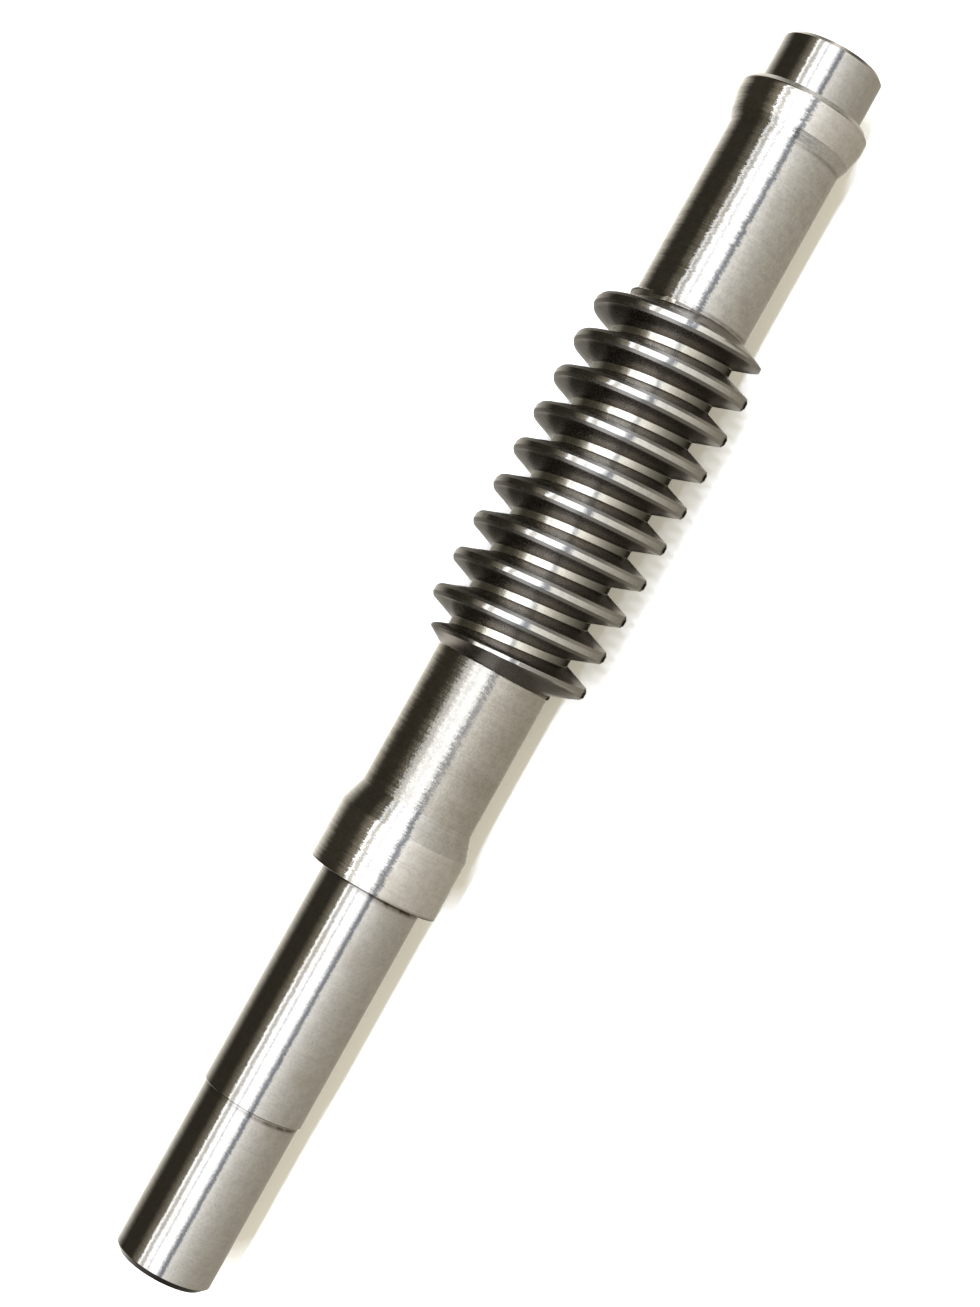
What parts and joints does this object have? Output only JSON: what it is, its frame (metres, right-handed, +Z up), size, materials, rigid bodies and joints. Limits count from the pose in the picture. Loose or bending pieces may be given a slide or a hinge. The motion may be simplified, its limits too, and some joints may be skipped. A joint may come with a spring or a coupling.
{
  "type": "worm shaft",
  "caption": "One-piece steel worm shaft with stepped bearing journals, two collars with cone backs and a single-start right-hand worm with straight flanks.",
  "frame": {"origin": "on the shaft axis at mid-length", "axes": "+X along the shaft axis from the long drive end towards the short journal; +Z up with the shaft lying level; the worm's crest crosses the +Y side at x = 45.65 mm"},
  "size_m": [0.316, 0.042, 0.042],
  "materials": {
    "machined_steel": "ground on the journals, fine-turned on the bodies and collars, hobbed and slightly darkened on the worm flanks"
  },
  "bodies": {
    "root": {"worm_shaft": "machined_steel"}
  },
  "joints": []
}
